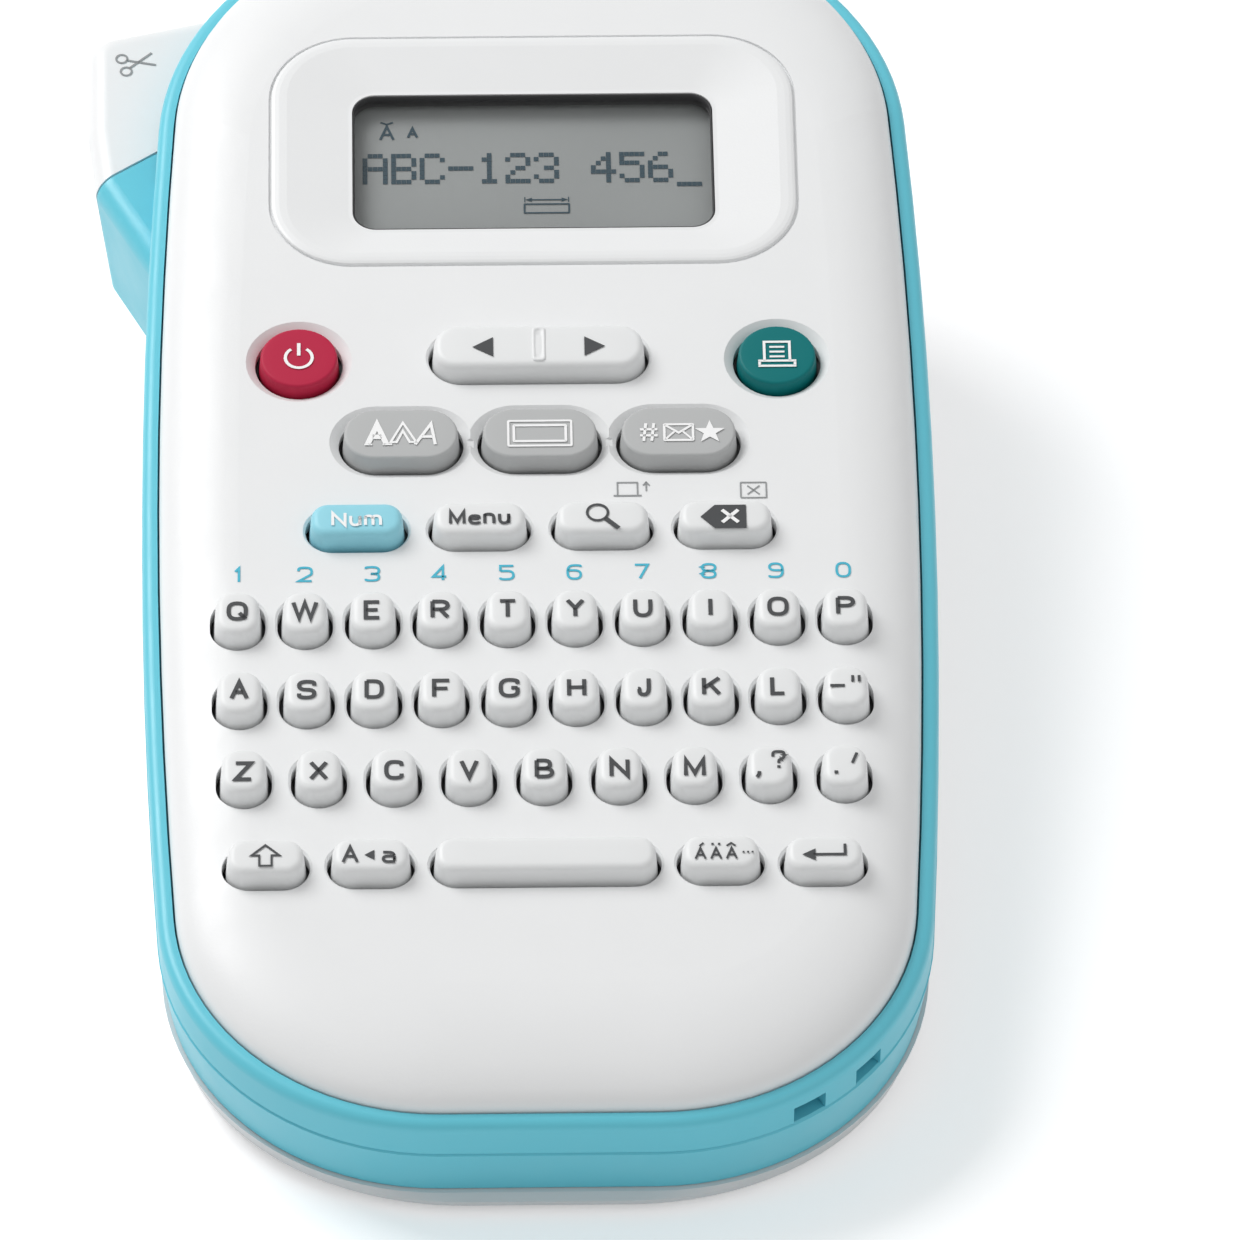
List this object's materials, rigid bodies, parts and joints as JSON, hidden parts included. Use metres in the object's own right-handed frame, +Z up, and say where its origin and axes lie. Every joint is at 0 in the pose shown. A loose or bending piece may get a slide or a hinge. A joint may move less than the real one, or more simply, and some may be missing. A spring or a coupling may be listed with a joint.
{
  "type": "handheld label maker",
  "caption": "Handheld label maker with a wedge-shaped case, a small display, a letter keyboard and a side lever that cuts the tape",
  "frame": {"origin": "centre of the flat rest face under the case, on the case's centre plane", "axes": "+X to the right of the keyboard, +Y from the near end to the display end, +Z up from the table"},
  "size_m": [0.1075, 0.1995, 0.0536],
  "materials": {
    "white_shell": "fine satin moulding texture",
    "blue_shell": "semi gloss moulded plastic",
    "rear_shell": "fine satin moulding texture",
    "key_soft": "satin silicone rubber",
    "key_red": "satin",
    "key_green": "satin",
    "key_grey": "satin",
    "key_blue": "satin silicone rubber",
    "steel": "brushed",
    "display_glass": "smooth",
    "clear_lens": "polished",
    "circuit_board": "solder mask",
    "grey_rubber": "moulded",
    "black_rubber": "ground",
    "gear_plastic": "moulded",
    "ceramic": "fine",
    "cassette_plastic": "moulded",
    "cell_label": "printed film over steel"
  },
  "bodies": {
    "casing": {"front_cover": "white_shell", "upper_case": "blue_shell", "lower_case": "blue_shell", "display_module": "display_glass", "display_window": "clear_lens", "main_board": "circuit_board", "key_mat": "grey_rubber", "drive_motor": "steel", "print_head": "ceramic", "tape_cassette": "cassette_plastic", "batteries": "cell_label"},
    "back": {"rear_cover": "rear_shell"},
    "lever": {"cutter_lever": "white_shell", "cutter_blade": "steel"},
    "platen": {"platen_roller": "black_rubber"},
    "pinion": {"drive_gear": "gear_plastic"},
    "key_power": {"key_power": "key_red"},
    "key_print": {"key_print": "key_green"},
    "key_cursor": {"key_cursor": "key_soft"},
    "key_text_style": {"key_text_style": "key_grey"},
    "key_border": {"key_border": "key_grey"},
    "key_symbols": {"key_symbols": "key_grey"},
    "key_numbers": {"key_numbers": "key_blue"},
    "key_menu": {"key_menu": "key_soft"},
    "key_preview": {"key_preview": "key_soft"},
    "key_erase": {"key_erase": "key_soft"},
    "key_shift": {"key_shift": "key_soft"},
    "key_capitals": {"key_capitals": "key_soft"},
    "key_space": {"key_space": "key_soft"},
    "key_accents": {"key_accents": "key_soft"},
    "key_enter": {"key_enter": "key_soft"},
    "key_q": {"key_q": "key_soft"},
    "key_w": {"key_w": "key_soft"},
    "key_e": {"key_e": "key_soft"},
    "key_r": {"key_r": "key_soft"},
    "key_t": {"key_t": "key_soft"},
    "key_y": {"key_y": "key_soft"},
    "key_u": {"key_u": "key_soft"},
    "key_i": {"key_i": "key_soft"},
    "key_o": {"key_o": "key_soft"},
    "key_p": {"key_p": "key_soft"},
    "key_a": {"key_a": "key_soft"},
    "key_s": {"key_s": "key_soft"},
    "key_d": {"key_d": "key_soft"},
    "key_f": {"key_f": "key_soft"},
    "key_g": {"key_g": "key_soft"},
    "key_h": {"key_h": "key_soft"},
    "key_j": {"key_j": "key_soft"},
    "key_k": {"key_k": "key_soft"},
    "key_l": {"key_l": "key_soft"},
    "key_dash": {"key_dash": "key_soft"},
    "key_z": {"key_z": "key_soft"},
    "key_x": {"key_x": "key_soft"},
    "key_c": {"key_c": "key_soft"},
    "key_v": {"key_v": "key_soft"},
    "key_b": {"key_b": "key_soft"},
    "key_n": {"key_n": "key_soft"},
    "key_m": {"key_m": "key_soft"},
    "key_comma": {"key_comma": "key_soft"},
    "key_stop": {"key_stop": "key_soft"}
  },
  "joints": [
    {"name": "cut_tape", "type": "hinge", "parent": "casing", "child": "lever", "pos_m": [-0.0432, 0.06181, 0.02904], "axis": [0, 0.1736, -0.9848], "range_deg": [0, 8], "stiffness_Nm_per_rad": 0.25, "springref_deg": -8.59},
    {"name": "feed_tape", "type": "hinge", "parent": "casing", "child": "platen", "pos_m": [-0.0379, 0.05098, 0.02713], "axis": [0, -0.1736, 0.9848], "continuous": true},
    {"name": "drive_feed", "type": "hinge", "parent": "casing", "child": "pinion", "pos_m": [-0.03929, 0.03949, 0.03526], "axis": [0, -0.1736, 0.9848], "continuous": true},
    {"name": "take_off_back", "type": "slide", "parent": "casing", "child": "back", "axis": [0, 0, -1], "range_m": [0, 0.03]},
    {"name": "press_power", "type": "slide", "parent": "casing", "child": "key_power", "axis": [0, 0.1736, -0.9848], "range_m": [0, 0.0009], "stiffness_N_per_m": 400, "springref_m": -0.0008},
    {"name": "press_print", "type": "slide", "parent": "casing", "child": "key_print", "axis": [0, 0.1736, -0.9848], "range_m": [0, 0.0009], "stiffness_N_per_m": 400, "springref_m": -0.0008},
    {"name": "press_cursor", "type": "slide", "parent": "casing", "child": "key_cursor", "axis": [0, 0.1736, -0.9848], "range_m": [0, 0.0009], "stiffness_N_per_m": 400, "springref_m": -0.0008},
    {"name": "press_text_style", "type": "slide", "parent": "casing", "child": "key_text_style", "axis": [0, 0.1736, -0.9848], "range_m": [0, 0.0009], "stiffness_N_per_m": 400, "springref_m": -0.0008},
    {"name": "press_border", "type": "slide", "parent": "casing", "child": "key_border", "axis": [0, 0.1736, -0.9848], "range_m": [0, 0.0009], "stiffness_N_per_m": 400, "springref_m": -0.0008},
    {"name": "press_symbols", "type": "slide", "parent": "casing", "child": "key_symbols", "axis": [0, 0.1736, -0.9848], "range_m": [0, 0.0009], "stiffness_N_per_m": 400, "springref_m": -0.0008},
    {"name": "press_numbers", "type": "slide", "parent": "casing", "child": "key_numbers", "axis": [0, 0.1736, -0.9848], "range_m": [0, 0.0009], "stiffness_N_per_m": 400, "springref_m": -0.0008},
    {"name": "press_menu", "type": "slide", "parent": "casing", "child": "key_menu", "axis": [0, 0.1736, -0.9848], "range_m": [0, 0.0009], "stiffness_N_per_m": 400, "springref_m": -0.0008},
    {"name": "press_preview", "type": "slide", "parent": "casing", "child": "key_preview", "axis": [0, 0.1736, -0.9848], "range_m": [0, 0.0009], "stiffness_N_per_m": 400, "springref_m": -0.0008},
    {"name": "press_erase", "type": "slide", "parent": "casing", "child": "key_erase", "axis": [0, 0.1736, -0.9848], "range_m": [0, 0.0009], "stiffness_N_per_m": 400, "springref_m": -0.0008},
    {"name": "press_shift", "type": "slide", "parent": "casing", "child": "key_shift", "axis": [0, 0.1736, -0.9848], "range_m": [0, 0.0009], "stiffness_N_per_m": 400, "springref_m": -0.0008},
    {"name": "press_capitals", "type": "slide", "parent": "casing", "child": "key_capitals", "axis": [0, 0.1736, -0.9848], "range_m": [0, 0.0009], "stiffness_N_per_m": 400, "springref_m": -0.0008},
    {"name": "press_space", "type": "slide", "parent": "casing", "child": "key_space", "axis": [0, 0.1736, -0.9848], "range_m": [0, 0.0009], "stiffness_N_per_m": 400, "springref_m": -0.0008},
    {"name": "press_accents", "type": "slide", "parent": "casing", "child": "key_accents", "axis": [0, 0.1736, -0.9848], "range_m": [0, 0.0009], "stiffness_N_per_m": 400, "springref_m": -0.0008},
    {"name": "press_enter", "type": "slide", "parent": "casing", "child": "key_enter", "axis": [0, 0.1736, -0.9848], "range_m": [0, 0.0009], "stiffness_N_per_m": 400, "springref_m": -0.0008},
    {"name": "press_q", "type": "slide", "parent": "casing", "child": "key_q", "axis": [0, 0.1736, -0.9848], "range_m": [0, 0.0009], "stiffness_N_per_m": 400, "springref_m": -0.0008},
    {"name": "press_w", "type": "slide", "parent": "casing", "child": "key_w", "axis": [0, 0.1736, -0.9848], "range_m": [0, 0.0009], "stiffness_N_per_m": 400, "springref_m": -0.0008},
    {"name": "press_e", "type": "slide", "parent": "casing", "child": "key_e", "axis": [0, 0.1736, -0.9848], "range_m": [0, 0.0009], "stiffness_N_per_m": 400, "springref_m": -0.0008},
    {"name": "press_r", "type": "slide", "parent": "casing", "child": "key_r", "axis": [0, 0.1736, -0.9848], "range_m": [0, 0.0009], "stiffness_N_per_m": 400, "springref_m": -0.0008},
    {"name": "press_t", "type": "slide", "parent": "casing", "child": "key_t", "axis": [0, 0.1736, -0.9848], "range_m": [0, 0.0009], "stiffness_N_per_m": 400, "springref_m": -0.0008},
    {"name": "press_y", "type": "slide", "parent": "casing", "child": "key_y", "axis": [0, 0.1736, -0.9848], "range_m": [0, 0.0009], "stiffness_N_per_m": 400, "springref_m": -0.0008},
    {"name": "press_u", "type": "slide", "parent": "casing", "child": "key_u", "axis": [0, 0.1736, -0.9848], "range_m": [0, 0.0009], "stiffness_N_per_m": 400, "springref_m": -0.0008},
    {"name": "press_i", "type": "slide", "parent": "casing", "child": "key_i", "axis": [0, 0.1736, -0.9848], "range_m": [0, 0.0009], "stiffness_N_per_m": 400, "springref_m": -0.0008},
    {"name": "press_o", "type": "slide", "parent": "casing", "child": "key_o", "axis": [0, 0.1736, -0.9848], "range_m": [0, 0.0009], "stiffness_N_per_m": 400, "springref_m": -0.0008},
    {"name": "press_p", "type": "slide", "parent": "casing", "child": "key_p", "axis": [0, 0.1736, -0.9848], "range_m": [0, 0.0009], "stiffness_N_per_m": 400, "springref_m": -0.0008},
    {"name": "press_a", "type": "slide", "parent": "casing", "child": "key_a", "axis": [0, 0.1736, -0.9848], "range_m": [0, 0.0009], "stiffness_N_per_m": 400, "springref_m": -0.0008},
    {"name": "press_s", "type": "slide", "parent": "casing", "child": "key_s", "axis": [0, 0.1736, -0.9848], "range_m": [0, 0.0009], "stiffness_N_per_m": 400, "springref_m": -0.0008},
    {"name": "press_d", "type": "slide", "parent": "casing", "child": "key_d", "axis": [0, 0.1736, -0.9848], "range_m": [0, 0.0009], "stiffness_N_per_m": 400, "springref_m": -0.0008},
    {"name": "press_f", "type": "slide", "parent": "casing", "child": "key_f", "axis": [0, 0.1736, -0.9848], "range_m": [0, 0.0009], "stiffness_N_per_m": 400, "springref_m": -0.0008},
    {"name": "press_g", "type": "slide", "parent": "casing", "child": "key_g", "axis": [0, 0.1736, -0.9848], "range_m": [0, 0.0009], "stiffness_N_per_m": 400, "springref_m": -0.0008},
    {"name": "press_h", "type": "slide", "parent": "casing", "child": "key_h", "axis": [0, 0.1736, -0.9848], "range_m": [0, 0.0009], "stiffness_N_per_m": 400, "springref_m": -0.0008},
    {"name": "press_j", "type": "slide", "parent": "casing", "child": "key_j", "axis": [0, 0.1736, -0.9848], "range_m": [0, 0.0009], "stiffness_N_per_m": 400, "springref_m": -0.0008},
    {"name": "press_k", "type": "slide", "parent": "casing", "child": "key_k", "axis": [0, 0.1736, -0.9848], "range_m": [0, 0.0009], "stiffness_N_per_m": 400, "springref_m": -0.0008},
    {"name": "press_l", "type": "slide", "parent": "casing", "child": "key_l", "axis": [0, 0.1736, -0.9848], "range_m": [0, 0.0009], "stiffness_N_per_m": 400, "springref_m": -0.0008},
    {"name": "press_dash", "type": "slide", "parent": "casing", "child": "key_dash", "axis": [0, 0.1736, -0.9848], "range_m": [0, 0.0009], "stiffness_N_per_m": 400, "springref_m": -0.0008},
    {"name": "press_z", "type": "slide", "parent": "casing", "child": "key_z", "axis": [0, 0.1736, -0.9848], "range_m": [0, 0.0009], "stiffness_N_per_m": 400, "springref_m": -0.0008},
    {"name": "press_x", "type": "slide", "parent": "casing", "child": "key_x", "axis": [0, 0.1736, -0.9848], "range_m": [0, 0.0009], "stiffness_N_per_m": 400, "springref_m": -0.0008},
    {"name": "press_c", "type": "slide", "parent": "casing", "child": "key_c", "axis": [0, 0.1736, -0.9848], "range_m": [0, 0.0009], "stiffness_N_per_m": 400, "springref_m": -0.0008},
    {"name": "press_v", "type": "slide", "parent": "casing", "child": "key_v", "axis": [0, 0.1736, -0.9848], "range_m": [0, 0.0009], "stiffness_N_per_m": 400, "springref_m": -0.0008},
    {"name": "press_b", "type": "slide", "parent": "casing", "child": "key_b", "axis": [0, 0.1736, -0.9848], "range_m": [0, 0.0009], "stiffness_N_per_m": 400, "springref_m": -0.0008},
    {"name": "press_n", "type": "slide", "parent": "casing", "child": "key_n", "axis": [0, 0.1736, -0.9848], "range_m": [0, 0.0009], "stiffness_N_per_m": 400, "springref_m": -0.0008},
    {"name": "press_m", "type": "slide", "parent": "casing", "child": "key_m", "axis": [0, 0.1736, -0.9848], "range_m": [0, 0.0009], "stiffness_N_per_m": 400, "springref_m": -0.0008},
    {"name": "press_comma", "type": "slide", "parent": "casing", "child": "key_comma", "axis": [0, 0.1736, -0.9848], "range_m": [0, 0.0009], "stiffness_N_per_m": 400, "springref_m": -0.0008},
    {"name": "press_stop", "type": "slide", "parent": "casing", "child": "key_stop", "axis": [0, 0.1736, -0.9848], "range_m": [0, 0.0009], "stiffness_N_per_m": 400, "springref_m": -0.0008}
  ],
  "couplings": [
    {"joint": "drive_feed", "follows": "feed_tape", "ratio": -1.2222}
  ]
}
